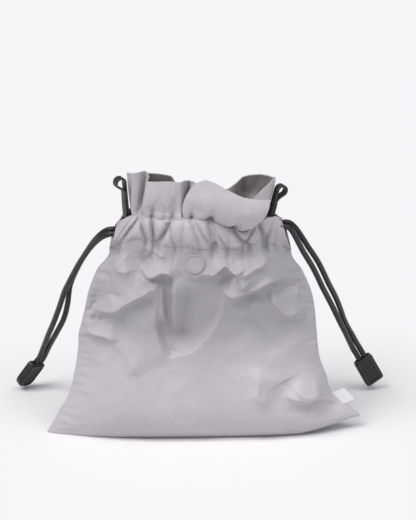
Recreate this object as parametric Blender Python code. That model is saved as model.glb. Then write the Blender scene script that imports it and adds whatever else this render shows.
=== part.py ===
"""Drawstring shoe bag, standing upright: two soft panels with a lining, a gathered neck with a
drawcord casing and a frilled header, two leather drawcords with tabs, two leather side loops, a
magnetic snap and a side label.  Metres, +Z up, front towards -Y, origin under the middle of the base."""

import math

import bmesh
import bpy
import numpy as np
from mathutils import Matrix, Vector

# Driving sizes -----------------------------------------------------------------------------------
GAP = 0.0003                    # clearance that touching pieces keep
BODY_TOP = 0.2247               # top edge of the panels, under the casing
PANEL_T = 0.002                 # outer fabric with its soft fill
LINING_T = 0.0012
LINING_GAP = 0.0032             # space between panel and lining, which holds the magnets
SEAM_HALF = 0.00165             # half the slot that the seam tapes fill between the panels
TAPE_HALF = SEAM_HALF - GAP
TAPE_WIDTH = 0.008
LINING_INSET = 0.010            # the lining is this much narrower than the panels on each side
NECK_X = -0.004                 # the neck stands a little to the left of the middle of the base

# Half-width of the side seam and half-depth of the hollow, as (height, size) pairs
WIDTH_BY_HEIGHT = [(0.0, 0.175), (0.007, 0.169), (0.018, 0.1645), (0.028, 0.159), (0.037, 0.151),
                   (0.047, 0.146), (0.075, 0.1385), (0.104, 0.133), (0.132, 0.1295),
                   (0.169, 0.122), (0.197, 0.111), (0.225, 0.099)]
DEPTH_BY_HEIGHT = [(0.0, 0.020), (0.003, 0.0235), (0.009, 0.027), (0.020, 0.031), (0.060, 0.035),
                   (0.100, 0.035), (0.140, 0.033), (0.180, 0.029), (0.205, 0.0245), (0.225, 0.021)]
PANEL_ROWS = [0.0, 0.003, 0.009, 0.018, 0.028, 0.038, 0.052, 0.075, 0.104, 0.134, 0.162, 0.186,
              0.207, BODY_TOP]
BASE_ROWS = 3                   # rows of the flat base between its seam and its front edge
BASE_FAN = 0.0001               # the base rows spread apart by this much at the corners
PANEL_COLUMNS = 23
LINING_COLUMNS = 17

# Neck: casing for the drawcords, and the header frill above it
CASING_Z = (0.2250, 0.2620)
CASING_HALF = 0.091             # from the middle of the neck to a cord exit
CASING_STRAIGHT = 0.036         # flat ends that guide the cords
CASING_END_Y = 0.0065           # the casing's centreline at a cord exit
CASING_MID_Y = 0.022            # and at the middle of the neck
CASING_DEPTH = 0.0124
CASING_WALL = 0.002
CASING_PLEATS = 9
PLEAT_DEPTH = 0.0014
CASING_STATIONS = 45
FACING_T = 0.0015
FACING_HALF = 0.046
HEADER_Z = (CASING_Z[1] + GAP, 0.2810, 0.3040)
HEADER_LEFT_X = (-0.0795, -0.0815, -0.0840)     # one value for each height
HEADER_RIGHT_X = (0.0700, 0.0755, 0.0835)
HEADER_HALF_Y = (0.016, 0.019, 0.023)
HEADER_T = 0.0022
HEADER_PLEATS = 7
HEADER_PLEAT_DEPTH = 0.0035
HEADER_STATIONS = 49

# Drawcords
CORD_R = 0.003
LEFT_LANE = 0.2400              # height of the left cord inside the casing
RIGHT_LANE = 0.2485
PULL = 0.030                    # how far a cord is pulled out
TAIL = 0.034                    # straight cord inside the casing that a pull draws out
BALL_CENTRE = CORD_R + GAP      # a free strand starts with a round end this far outside its exit
STRAND_SIDES = 2                # bevel resolution
STRAND_STEP = 0.013             # spacing of the points along a free strand
# Free cord from its exit to its tab: points midway between the two strands of a cord, each with
# the way from there to the front strand; the rear strand lies as far the other way
LEFT_ROUTE = [((-0.0983, 0.0000, 0.2400), (0.0000, -0.0065, 0.0000)),
              ((-0.1040, 0.0004, 0.2392), (0.0000, -0.0065, 0.0000)),
              ((-0.1108, 0.0030, 0.2348), (-0.0005, -0.0060, -0.0002)),
              ((-0.1172, 0.0070, 0.2275), (-0.0010, -0.0054, -0.0004)),
              ((-0.1240, 0.0120, 0.2172), (-0.0013, -0.0048, -0.0006)),
              ((-0.1304, 0.0180, 0.2047), (-0.0015, -0.0042, -0.0008)),
              ((-0.1370, 0.0250, 0.1905), (-0.0015, -0.0039, -0.0008)),
              ((-0.1430, 0.0320, 0.1755), (-0.0016, -0.0037, -0.0008)),
              ((-0.1478, 0.0385, 0.1620), (-0.0020, -0.0034, -0.0009)),
              ((-0.1516, 0.0445, 0.1492), (-0.0028, -0.0028, -0.0010)),
              ((-0.1558, 0.0540, 0.1262), (-0.0045, -0.0016, -0.0010)),
              ((-0.1613, 0.0630, 0.1040), (-0.0055, -0.0011, -0.0014)),
              ((-0.1690, 0.0740, 0.0818), (-0.0049, -0.0011, -0.0015)),
              ((-0.1757, 0.0870, 0.0615), (-0.0031, -0.0018, 0.0002)),
              ((-0.1818, 0.0969, 0.0427), (-0.0023, -0.0023, 0.0010)),
              ((-0.1860, 0.0983, 0.0360), (-0.0023, -0.0023, 0.0010))]
RIGHT_ROUTE = [((0.0903, 0.0000, 0.2485), (0.0000, -0.0065, 0.0000)),
               ((0.0958, 0.0005, 0.2468), (-0.0003, -0.0064, -0.0002)),
               ((0.1017, 0.0032, 0.2385), (-0.0012, -0.0058, -0.0007)),
               ((0.1075, 0.0072, 0.2265), (-0.0020, -0.0050, -0.0011)),
               ((0.1138, 0.0120, 0.2128), (-0.0026, -0.0040, -0.0014)),
               ((0.1196, 0.0170, 0.2010), (-0.0030, -0.0032, -0.0016)),
               ((0.1249, 0.0225, 0.1893), (-0.0032, -0.0026, -0.0017)),
               ((0.1306, 0.0295, 0.1742), (-0.0033, -0.0021, -0.0017)),
               ((0.1359, 0.0370, 0.1588), (-0.0033, -0.0020, -0.0017)),
               ((0.1410, 0.0440, 0.1454), (-0.0033, -0.0020, -0.0017)),
               ((0.1459, 0.0510, 0.1320), (-0.0032, -0.0021, -0.0016)),
               ((0.1510, 0.0595, 0.1161), (-0.0026, -0.0028, -0.0014)),
               ((0.1558, 0.0680, 0.1002), (-0.0018, -0.0036, -0.0011)),
               ((0.1604, 0.0757, 0.0870), (-0.0016, -0.0038, -0.0010)),
               ((0.1652, 0.0835, 0.0740), (-0.0021, -0.0029, -0.0013)),
               ((0.1708, 0.0930, 0.0582), (-0.0028, -0.0012, -0.0016)),
               ((0.1751, 0.0958, 0.0494), (-0.0028, -0.0011, -0.0016)),
               ((0.1785, 0.0972, 0.0423), (-0.0028, -0.0011, -0.0016))]

# Leather tabs: place of the middle of the entry face, direction of the length, direction of the
# width, and radius of the corners at the free end
TAB_SIZE = (0.022, 0.0085, 0.036)
TAB_ENTRY_R = 0.0040
ENTRY_GAP = 0.0007              # between a tab's entry face and the ends of its two strands
LEFT_TAB = ((-0.1860, 0.0983, 0.0360), (-0.520, 0.170, -0.837), (0.66, 0.66, -0.28), 0.0095)
RIGHT_TAB = ((0.1785, 0.0972, 0.0423), (0.428, 0.179, -0.886), (0.86, 0.35, 0.46), 0.0035)
STITCH_INSET = 0.0025
STITCH_SIZE = (0.0009, 0.0005)

# Leather side loops: a folded strip with an eye at its top
LOOP_STRIP_T = 0.0020
LOOP_STRIP_W = 0.0090
LOOP_EDGE = 0.0004              # the strip's long edges are bevelled by this much
LOOP_EYE_R = 0.0050
LOOP_SLIT = 0.0003              # between the two layers
LOOP_LIFT = 0.0022              # room for the foot's outer edge to turn down as the loop tilts
LOOP_NECK = 0.0120              # the layers meet this far below the middle of the eye
# For each side: x of the foot, height, outward lean, and turn of the outer face towards the front
LEFT_LOOP = (-0.0834, 0.0470, math.radians(9), math.radians(22))
RIGHT_LOOP = (0.0745, 0.0400, math.radians(19), math.radians(-18))

# Magnetic snap and its stitched fabric patches
SNAP_X = -0.0095
SNAP_Z = 0.2125
MAGNET_R = 0.009
MAGNET_T = 0.0018
PATCH_R = 0.0118
PATCH_T = 0.0010
PATCH_STITCH_R = 0.0104

# Side label on the right seam
LABEL_Z = (0.030, 0.044)
LABEL_WIDTH = 0.013
LABEL_T = 0.0006

COLOURS = {
    "fabric": ((0.52, 0.50, 0.53), 0.55, 0.0),
    "lining": ((0.42, 0.40, 0.42), 0.7, 0.0),
    "leather": ((0.035, 0.030, 0.032), 0.45, 0.0),
    "thread": ((0.10, 0.09, 0.095), 0.6, 0.0),
    "steel": ((0.6, 0.6, 0.6), 0.3, 1.0),
    "label": ((0.85, 0.85, 0.86), 0.6, 0.0),
}


def clear_scene():
    for old in list(bpy.data.objects):
        bpy.data.objects.remove(old, do_unlink=True)


def material(node, kind):
    """A material of the node's own, in the colour of its kind."""
    colour, roughness, metallic = COLOURS[kind]
    made = bpy.data.materials.new(node + "_" + kind)
    made.use_nodes = True
    shader = made.node_tree.nodes["Principled BSDF"]
    shader.inputs["Base Color"].default_value = (*colour, 1.0)
    shader.inputs["Roughness"].default_value = roughness
    shader.inputs["Metallic"].default_value = metallic
    return made


def add_mesh(node, verts, faces, kind, smooth_angle=40):
    """A closed mesh object with its faces turned outwards."""
    mesh = bpy.data.meshes.new(node)
    mesh.from_pydata([tuple(v) for v in verts], [], faces)
    shape = bmesh.new()
    shape.from_mesh(mesh)
    bmesh.ops.recalc_face_normals(shape, faces=shape.faces)
    shape.to_mesh(mesh)
    shape.free()
    mesh.shade_smooth()
    mesh.set_sharp_from_angle(angle=math.radians(smooth_angle))
    made = bpy.data.objects.new(node, mesh)
    made.data.materials.append(material(node, kind))
    bpy.context.scene.collection.objects.link(made)
    return made


def thick_sheet(node, outer, inner, kind):
    """A solid between two grids of points that have the same rows and columns."""
    rows = len(outer)
    columns = len(outer[0])
    verts = [p for row in outer for p in row] + [p for row in inner for p in row]
    inner_start = rows * columns
    faces = []
    for r in range(rows - 1):
        for c in range(columns - 1):
            a = r * columns + c
            quad = (a, a + 1, a + columns + 1, a + columns)
            faces.append(quad)
            faces.append(tuple(inner_start + i for i in reversed(quad)))
    border = [c for c in range(columns)]
    border += [r * columns + columns - 1 for r in range(1, rows)]
    border += [(rows - 1) * columns + c for c in reversed(range(columns - 1))]
    border += [r * columns for r in reversed(range(1, rows - 1))]
    for a, b in zip(border, border[1:] + border[:1]):
        faces.append((a, inner_start + a, inner_start + b, b))
    return add_mesh(node, verts, faces, kind)


def swept_section(node, sections, kind):
    """A solid through a list of equal-sized closed sections, with flat ends."""
    size = len(sections[0])
    verts = [p for section in sections for p in section]
    faces = [tuple(reversed(range(size)))]
    for s in range(len(sections) - 1):
        for i in range(size):
            j = (i + 1) % size
            faces.append((s * size + i, s * size + j, (s + 1) * size + j, (s + 1) * size + i))
    last = (len(sections) - 1) * size
    faces.append(tuple(range(last, last + size)))
    return add_mesh(node, verts, faces, kind)


def ring_plate(node, outer, inner, thickness, place, kind):
    """A flat ring between two outlines of equal count, lying in the XY plane of place."""
    count = len(outer)
    verts = [place @ Vector((x, y, z)) for z in (0.0, thickness) for x, y in outer + inner]
    faces = []
    for i in range(count):
        j = (i + 1) % count
        faces.append((i, j, count + j, count + i))
        faces.append((2 * count + i, 3 * count + i, 3 * count + j, 2 * count + j))
        faces.append((i, 2 * count + i, 2 * count + j, j))
        faces.append((count + i, count + j, 3 * count + j, 3 * count + i))
    return add_mesh(node, verts, faces, kind)


def circle(radius, count):
    return [(radius * math.cos(2 * math.pi * i / count), radius * math.sin(2 * math.pi * i / count))
            for i in range(count)]


def smooth_lookup(pairs, height):
    """A smooth curve through (height, size) pairs: cubic, with averaged slopes."""
    heights = [p[0] for p in pairs]
    sizes = [p[1] for p in pairs]
    slopes = [(sizes[i + 1] - sizes[i]) / (heights[i + 1] - heights[i]) for i in range(len(pairs) - 1)]
    tangents = [slopes[0]]
    tangents += [(slopes[i] + slopes[i + 1]) / 2 for i in range(len(slopes) - 1)]
    tangents.append(slopes[-1])
    k = min(max(int(np.searchsorted(heights, height)) - 1, 0), len(slopes) - 1)
    span = heights[k + 1] - heights[k]
    t = (height - heights[k]) / span
    return (sizes[k] * (2 * t ** 3 - 3 * t ** 2 + 1) + tangents[k] * span * (t ** 3 - 2 * t ** 2 + t)
            + sizes[k + 1] * (3 * t ** 2 - 2 * t ** 3) + tangents[k + 1] * span * (t ** 3 - t ** 2))


def smooth_step(t):
    t = min(max(t, 0.0), 1.0)
    return t * t * (3 - 2 * t)


def centre_x(height):
    """The bag's middle moves to the left from the base to the neck."""
    return NECK_X * smooth_step(height / 0.06)


def swell(u, height):
    """How full the bag is across its width: squarer at the base, rounder at the neck."""
    power = 3.4 - 1.2 * smooth_step(height / 0.2)
    return (1 - min(abs(u), 1.0) ** power) ** 0.9


def bag_point(side, u, height, half_width, edge, depth, z=None):
    """A point of a bag wall: side is -1 at the front, u runs from -1 to 1 across."""
    y = edge + depth * swell(u, height)
    return (centre_x(height) + u * half_width, side * y, height if z is None else z)


def wall_grids(side, columns, inset, push, thickness, edge_outer, edge_inner, row_heights):
    """Outer and inner grids of one half of a bag shell, base included."""
    across = [math.sin(math.pi / 2 * t) * 0.35 + t * 0.65 for t in np.linspace(-1, 1, columns)]
    bottom = row_heights[0]
    base_depth = smooth_lookup(DEPTH_BY_HEIGHT, bottom) - push
    base_width = smooth_lookup(WIDTH_BY_HEIGHT, bottom) - inset
    outer = []
    inner = []
    for r in range(BASE_ROWS):
        share = r / BASE_ROWS
        width = base_width - 0.0012 * share
        edge = edge_inner + (edge_outer - edge_inner) * share
        inner_edge = edge_inner + BASE_FAN * r
        outer.append([bag_point(side, u, bottom, width, edge, base_depth * share) for u in across])
        inner.append([bag_point(side, u, bottom, width, inner_edge, base_depth * share,
                                bottom + thickness) for u in across])
    for height in row_heights:
        width = smooth_lookup(WIDTH_BY_HEIGHT, height) - inset
        if height == bottom:
            width = base_width - 0.0014
        depth = smooth_lookup(DEPTH_BY_HEIGHT, height) - push
        outer.append([bag_point(side, u, height, width, edge_outer, depth) for u in across])
        z = max(height, bottom + thickness + 0.2 * (height - bottom))
        inner_edge = edge_inner + BASE_FAN * BASE_ROWS
        inner.append([bag_point(side, u, height, width, inner_edge, depth, z) for u in across])
    return outer, inner


def add_panel(node, side):
    outer, inner = wall_grids(side, PANEL_COLUMNS, 0.0, 0.0, PANEL_T, SEAM_HALF + PANEL_T,
                              SEAM_HALF, PANEL_ROWS)
    return thick_sheet(node, outer, inner, "fabric")


def add_lining(node, side):
    bottom = PANEL_T + LINING_GAP
    rows = [bottom] + [z for z in PANEL_ROWS if z > bottom + 0.006]
    outer, inner = wall_grids(side, LINING_COLUMNS, LINING_INSET, LINING_GAP + LINING_T, LINING_T,
                              GAP + LINING_T, GAP, rows)
    return thick_sheet(node, outer, inner, "lining")


def add_side_tape(node, direction):
    """Tape inside a side seam: it closes the slot between the two panels."""
    rows = [PANEL_T + GAP] + [z for z in PANEL_ROWS if z > PANEL_T + GAP]
    sheets = []
    for y in (-TAPE_HALF, TAPE_HALF):
        sheet = []
        for z in rows:
            edge = smooth_lookup(WIDTH_BY_HEIGHT, z) - GAP
            sheet.append([(centre_x(z) + direction * (edge - back), y, z) for back in (TAPE_WIDTH, 0.0)])
        sheets.append(sheet)
    return thick_sheet(node, sheets[0], sheets[1], "fabric")


def add_bottom_tape(node):
    half = WIDTH_BY_HEIGHT[0][1] - 2 * TAPE_WIDTH
    low = 0.0004
    high = PANEL_T + LINING_GAP - 2 * GAP
    sheets = [[[(x, y, z) for x in np.linspace(-half, half, 9)] for z in (low, high)]
              for y in (-TAPE_HALF, TAPE_HALF)]
    return thick_sheet(node, sheets[0], sheets[1], "fabric")


def casing_y(x):
    """Distance of the casing's centreline from the middle plane, x from the middle of the neck."""
    curved = CASING_HALF - CASING_STRAIGHT
    share = math.sin(math.pi / 2 * max(curved - abs(x), 0.0) / curved)
    return CASING_END_Y + (CASING_MID_Y - CASING_END_Y) * share


def add_casing(node, side):
    """Drawcord casing: an outer wall with a flange along its top and bottom seams."""
    low, high = CASING_Z
    sections = []
    for x in np.linspace(-CASING_HALF, CASING_HALF, CASING_STATIONS):
        fade = smooth_step((CASING_HALF - abs(x)) / 0.03)
        pleat = PLEAT_DEPTH * fade * (1 + math.cos(math.pi * CASING_PLEATS * x / CASING_HALF))
        outside = casing_y(x) + CASING_DEPTH / 2
        inside = outside - CASING_DEPTH
        wall = outside - CASING_WALL
        outline = [(outside + pleat, low), (outside + pleat, high), (inside, high),
                   (inside, high - CASING_WALL), (wall + pleat, high - CASING_WALL),
                   (wall + pleat, low + CASING_WALL), (inside, low + CASING_WALL), (inside, low)]
        sections.append([(NECK_X + x, side * y, z) for y, z in outline])
    return swept_section(node, sections, "fabric")


def add_facing(node, side):
    """Inner wall of the casing, across the part of the neck where the mouth is open."""
    low, high = CASING_Z
    outer = []
    inner = []
    for z in (low, high):
        stations = np.linspace(-FACING_HALF, FACING_HALF, 17)
        back = [casing_y(x) - CASING_DEPTH / 2 - GAP for x in stations]
        outer.append([(NECK_X + x, side * y, z) for x, y in zip(stations, back)])
        inner.append([(NECK_X + x, side * (y - FACING_T), z) for x, y in zip(stations, back)])
    return thick_sheet(node, outer, inner, "lining")


def add_header(node, side):
    """Gathered frill above the casing: half of a pleated oval that flares upwards."""
    outer = []
    inner = []
    end = 0.02
    for z, left_x, right_x, half_y in zip(HEADER_Z, HEADER_LEFT_X, HEADER_RIGHT_X, HEADER_HALF_Y):
        middle_x = (left_x + right_x) / 2
        half_x = (right_x - left_x) / 2
        outer_row = []
        inner_row = []
        for angle in np.linspace(end, math.pi - end, HEADER_STATIONS):
            fade = smooth_step(math.sin(angle) / 0.5)
            pleat = HEADER_PLEAT_DEPTH * fade * math.cos(2 * HEADER_PLEATS * angle)
            for row, offset in ((outer_row, HEADER_T / 2), (inner_row, -HEADER_T / 2)):
                x = middle_x - (half_x + pleat * abs(math.cos(angle)) + offset) * math.cos(angle)
                y = (half_y + pleat + offset) * math.sin(angle)
                row.append((x, side * y, z))
        outer.append(outer_row)
        inner.append(inner_row)
    return thick_sheet(node, outer, inner, "fabric")


def route_curve(points, step):
    """Points along a smooth curve through a route, spaced about one step apart."""
    route = [Vector(p) for p in points]
    padded = [route[0] * 2 - route[1]] + route + [route[-1] * 2 - route[-2]]
    fine = []
    for i in range(1, len(padded) - 2):
        p0, p1, p2, p3 = padded[i - 1:i + 3]
        for k in range(20):
            t = k / 20
            fine.append(0.5 * (2 * p1 + (p2 - p0) * t + (2 * p0 - 5 * p1 + 4 * p2 - p3) * t ** 2
                               + (3 * p1 - p0 - 3 * p2 + p3) * t ** 3))
    fine.append(route[-1])
    lengths = [0.0]
    for a, b in zip(fine, fine[1:]):
        lengths.append(lengths[-1] + (b - a).length)
    count = max(int(round(lengths[-1] / step)), 1)
    picked = []
    for k in range(count + 1):
        at = lengths[-1] * k / count
        i = min(max(int(np.searchsorted(lengths, at)), 1), len(fine) - 1)
        t = (at - lengths[i - 1]) / (lengths[i] - lengths[i - 1])
        picked.append(fine[i - 1].lerp(fine[i], t))
    return picked


def add_tube(node, points, round_start=False):
    """A round leather cord through the points, as a curve with filled caps."""
    curve = bpy.data.curves.new(node, "CURVE")
    curve.dimensions = "3D"
    curve.bevel_depth = CORD_R
    curve.bevel_resolution = STRAND_SIDES
    curve.use_fill_caps = True
    radii = [1.0] * len(points)
    if round_start:
        back = (points[0] - points[1]).normalized() * CORD_R
        start = points[0]
        steps = [math.radians(a) for a in (80, 55, 28)]
        points = [start + back * math.sin(a) for a in steps] + points
        radii = [math.cos(a) for a in steps] + radii
    spline = curve.splines.new("POLY")
    spline.points.add(len(points) - 1)
    for at, p, radius in zip(spline.points, points, radii):
        at.co = (*p, 1.0)
        at.radius = radius
    made = bpy.data.objects.new(node, curve)
    curve.materials.append(material(node, "leather"))
    bpy.context.scene.collection.objects.link(made)
    return made


def add_cord_run(node, exit_side, lane):
    """The hidden loop of one cord: through the front casing, round the far end, back at the rear."""
    near = CASING_HALF - TAIL - 3 * GAP
    far = CASING_HALF - 0.0105
    stations = [near, *np.linspace(CASING_HALF - CASING_STRAIGHT, -far, 12)]
    front = [(x, -casing_y(x)) for x in stations]
    turn = [(-far - CASING_END_Y * math.sin(a), -CASING_END_Y * math.cos(a))
            for a in np.linspace(0, math.pi, 7)[1:-1]]
    rear = [(x, casing_y(x)) for x in reversed(stations)]
    points = [Vector((NECK_X + exit_side * x, y, lane)) for x, y in front + turn + rear]
    return add_tube(node, points)


def add_tail(node, exit_side, side, lane):
    """Straight cord just inside an exit, which a pull draws out."""
    stations = (CASING_HALF - TAIL, CASING_HALF - TAIL / 2, CASING_HALF)
    points = [Vector((NECK_X + exit_side * x, side * CASING_END_Y, lane)) for x in stations]
    return add_tube(node, points)


def add_strand(node, route, side):
    """A free stretch of cord that starts with a round end at its exit and ends at the tab."""
    points = [Vector(middle) - side * Vector(spread) for middle, spread in route]
    return add_tube(node, route_curve(points, STRAND_STEP), round_start=True)


def tab_frame(tab):
    """Matrix of a tab: X along the width, Z back along the length, origin at the entry face."""
    place, along, across, _ = tab
    z = -Vector(along).normalized()
    x = Vector(across)
    x = (x - z * x.dot(z)).normalized()
    y = z.cross(x)
    frame = Matrix((x, y, z)).transposed().to_4x4()
    frame.translation = Vector(place) - z * ENTRY_GAP
    return frame


def tab_outline(inset, end_radius):
    """Rounded rectangle of a tab in its own XZ plane, as (x, z) points, entry edge at z = 0."""
    half = TAB_SIZE[0] / 2 - inset
    far = inset - TAB_SIZE[2]
    entry = TAB_ENTRY_R - inset * 0.6
    end = end_radius - inset * 0.6
    corners = [(half - entry, -inset - entry, entry, 0), (-half + entry, -inset - entry, entry, 90),
               (-half + end, far + end, end, 180), (half - end, far + end, end, 270)]
    outline = []
    for x, z, radius, start in corners:
        for step in range(6):
            angle = math.radians(start + step * 18)
            outline.append((x + radius * math.cos(angle), z + radius * math.sin(angle)))
    return outline


def add_tab(node, tab):
    """Folded leather tab that clamps both ends of a cord."""
    frame = tab_frame(tab)
    half = TAB_SIZE[1] / 2
    levels = [(-half, 0.0014), (-half + 0.0014, 0.0), (half - 0.0014, 0.0), (half, 0.0014)]
    sections = []
    for y, inset in levels:
        sections.append([frame @ Vector((x, y, z)) for x, z in tab_outline(inset, tab[3])])
    return swept_section(node, sections, "leather")


def add_tab_stitch(node, tab):
    """Line of thread around the front face of a tab."""
    width, height = STITCH_SIZE
    place = tab_frame(tab) @ Matrix.Translation((0, -TAB_SIZE[1] / 2 - GAP, 0)) @ \
        Matrix.Rotation(math.radians(90), 4, "X")
    outer = tab_outline(STITCH_INSET, tab[3])
    inner = tab_outline(STITCH_INSET + width, tab[3])
    return ring_plate(node, outer, inner, height, place, "thread")


def loop_centreline(height):
    """Middle of a loop's strip, foot to foot: its inner leg is straight, its eye stands outwards."""
    half = LOOP_STRIP_T / 2
    top = height - LOOP_EYE_R - LOOP_STRIP_T
    reach = LOOP_EYE_R + half
    arc = [math.radians(angle) for angle in np.linspace(180, -40, 17)]
    path = [(-half, 0.0)]
    path += [(LOOP_EYE_R + reach * math.cos(a), top + reach * math.sin(a)) for a in arc]
    path += [(LOOP_SLIT + half, top - LOOP_NECK), (LOOP_SLIT + half, 0.0)]
    return [Vector((x, 0.0, z)) for x, z in path]


def loop_frame(foot_x, lean, turn):
    """Matrix of a loop: X points out of the neck, Y across the strip and Z along it."""
    outward = math.copysign(1.0, foot_x)
    foot = Matrix.Translation((foot_x, 0.0, CASING_Z[1] + LOOP_LIFT))
    mirror = Matrix.Diagonal((outward, 1.0, 1.0, 1.0))
    return foot @ mirror @ Matrix.Rotation(-turn, 4, "Z") @ Matrix.Rotation(lean, 4, "Y")


def add_loop(node, foot_x, height, lean, turn):
    """Folded leather strip standing at the side of the header, with an eye at its top."""
    place = loop_frame(foot_x, lean, turn)
    path = loop_centreline(height)
    half = LOOP_STRIP_T / 2
    wide = LOOP_STRIP_W / 2
    profile = [(half, wide - LOOP_EDGE), (0.0, wide), (-half, wide - LOOP_EDGE),
               (-half, LOOP_EDGE - wide), (0.0, -wide), (half, LOOP_EDGE - wide)]
    sections = []
    for i, point in enumerate(path):
        before = (point - path[max(i - 1, 0)]).normalized()
        after = (path[min(i + 1, len(path) - 1)] - point).normalized()
        way = (before + after).normalized()
        normal = Vector((-way.z, 0.0, way.x))
        mitre = 1 / max(way.dot(after), way.dot(before), 0.5)
        sections.append([place @ (point + normal * (x * mitre) + Vector((0.0, y, 0.0)))
                         for x, y in profile])
    return swept_section(node, sections, "leather")


def snap_frame(side, distance):
    """Matrix of a disc on the wall at the snap: its Z axis points out of the bag."""
    u = (SNAP_X - centre_x(SNAP_Z)) / smooth_lookup(WIDTH_BY_HEIGHT, SNAP_Z)
    depth = smooth_lookup(DEPTH_BY_HEIGHT, SNAP_Z) * swell(u, SNAP_Z)
    rise = 0.01
    above = smooth_lookup(DEPTH_BY_HEIGHT, SNAP_Z + rise)
    below = smooth_lookup(DEPTH_BY_HEIGHT, SNAP_Z - rise)
    slope = math.atan2(below - above, 2 * rise)
    z = Vector((0.0, side * math.cos(slope), math.sin(slope)))
    x = Vector((1.0, 0.0, 0.0))
    y = z.cross(x)
    frame = Matrix((x, y, z)).transposed().to_4x4()
    frame.translation = Vector((SNAP_X, side * (SEAM_HALF + depth), SNAP_Z)) + z * distance
    return frame


def add_disc(node, radius, thickness, frame, kind, count=20):
    sections = []
    for z, inset in ((0.0, 0.0), (thickness - 0.0003, 0.0), (thickness, 0.0003)):
        sections.append([frame @ Vector((x, y, z)) for x, y in circle(radius - inset, count)])
    return swept_section(node, sections, kind)


def add_snap(side, name):
    """One half of the snap: a magnet between panel and lining, a patch outside and its stitches."""
    outside = PANEL_T + 2 * GAP
    inside = -MAGNET_T - 2 * GAP
    add_disc(name + "_magnet", MAGNET_R, MAGNET_T, snap_frame(side, inside), "steel")
    add_disc(name + "_magnet_patch", PATCH_R, PATCH_T, snap_frame(side, outside), "fabric")
    stitch = snap_frame(side, outside + PATCH_T + GAP)
    outer = circle(PATCH_STITCH_R, 24)
    inner = circle(PATCH_STITCH_R - STITCH_SIZE[0], 24)
    ring_plate(name + "_patch_stitch", outer, inner, STITCH_SIZE[1], stitch, "thread")


def add_label(node):
    """Small folded label that stands out of the right side seam."""
    sheets = []
    for y in (-LABEL_T / 2, LABEL_T / 2):
        sheet = []
        for z in LABEL_Z:
            foot = centre_x(z) + smooth_lookup(WIDTH_BY_HEIGHT, z) + 2 * GAP
            sheet.append([(foot + out, y, z + 0.45 * out) for out in (0.0, LABEL_WIDTH)])
        sheets.append(sheet)
    return thick_sheet(node, sheets[0], sheets[1], "label")


def build_bag():
    for side, name in ((-1, "front"), (1, "rear")):
        add_panel(name + "_panel", side)
        add_lining(name + "_lining", side)
        add_casing(name + "_casing", side)
        add_facing(name + "_facing", side)
        add_header(name + "_header", side)
        add_snap(side, name)
    for direction, name, loop in ((-1, "left", LEFT_LOOP), (1, "right", RIGHT_LOOP)):
        add_side_tape(name + "_seam_tape", direction)
        add_loop(name + "_loop", *loop)
    add_bottom_tape("bottom_seam_tape")
    add_label("side_label")


def build_cords():
    cords = (("left", -1, LEFT_LANE, LEFT_ROUTE, LEFT_TAB),
             ("right", 1, RIGHT_LANE, RIGHT_ROUTE, RIGHT_TAB))
    for name, exit_side, lane, route, tab in cords:
        add_cord_run(name + "_cord_run", exit_side, lane)
        add_tail(name + "_front_tail", exit_side, -1, lane)
        add_tail(name + "_rear_tail", exit_side, 1, lane)
        add_strand(name + "_front_strand", route, -1)
        add_strand(name + "_rear_strand", route, 1)
        add_tab(name + "_tab", tab)
        add_tab_stitch(name + "_tab_stitch", tab)


clear_scene()
build_bag()
build_cords()
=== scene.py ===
"""Looks of the drawstring shoe bag: cloth, gathered neck, leather cords, tabs and loops, patch and label."""
import math

import bmesh
import bpy
import numpy as np
from mathutils import Matrix, Vector, noise


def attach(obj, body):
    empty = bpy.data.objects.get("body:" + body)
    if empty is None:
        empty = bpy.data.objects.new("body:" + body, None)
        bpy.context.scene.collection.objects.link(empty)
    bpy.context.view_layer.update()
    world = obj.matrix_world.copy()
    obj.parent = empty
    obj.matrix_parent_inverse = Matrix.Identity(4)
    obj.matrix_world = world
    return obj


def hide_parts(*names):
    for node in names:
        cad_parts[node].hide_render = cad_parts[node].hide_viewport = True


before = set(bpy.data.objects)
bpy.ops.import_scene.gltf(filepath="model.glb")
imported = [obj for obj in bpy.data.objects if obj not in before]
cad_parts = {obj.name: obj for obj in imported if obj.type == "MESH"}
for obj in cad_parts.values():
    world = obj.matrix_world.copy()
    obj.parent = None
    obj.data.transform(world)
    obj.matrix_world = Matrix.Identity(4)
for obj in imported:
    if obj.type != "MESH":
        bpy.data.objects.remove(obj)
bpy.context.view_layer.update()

FRONT, REAR = -1, 1
NECK_X = -0.004                 # middle of the neck
CASING_HALF = 0.091             # from there to a cord exit
LEFT_LANE = 0.2400
RIGHT_LANE = 0.2485
CORD_R = 0.003
CORD_OFFSET = 0.0065            # a strand's distance from the middle plane at its exit
EDGE_HALF = 0.0005              # the panels meet this close to the middle plane at the side seams
CLOTH_T = 0.0008
HEADER_T = 0.0012               # the frill is two layers, cloth outside and lining inside; the inner face's darker lining colour is painted shade
LINING_T = 0.0005
GATHER_MOST = 0.0105            # the deepest that gathers draw the casing in
FLUTE_SHARE = 0.28              # how much of a gather's depth goes on into the panel below it
CREST = 0.0009                  # how much a fold's crest is rounded
FOLD_GAIN = 2.3                 # how pronounced the folds are
SNAP = (-0.0095, 0.2125)        # x and height of the snap
SNAP_SEAT = 0.022               # the cloth lies flat behind its patch, out to about this far
SNAP_DEPTH = 0.0272
SNAP_LEAN = 0.185
LOOP_T = 0.0020                 # leather of the side loops, and the radius of their eyes
LOOP_W = 0.0090
LOOP_EYE = 0.0046
LOOP_SLIT = 0.0004
STITCH_LONG = 0.0024            # sewing stitches of the casing
STITCH_GAP = 0.0009
THREAD_R = 0.00040
SIM_ROWS = 90                   # grid, length and greatest movement of the cloth simulation
SIM_COLUMNS = 100
SIM_FRAMES = 24
SIM_CAP = 0.006
TURN = 0.030                    # the base stands turned about its right corner by this slope
TURN_ABOUT = 0.150

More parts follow.
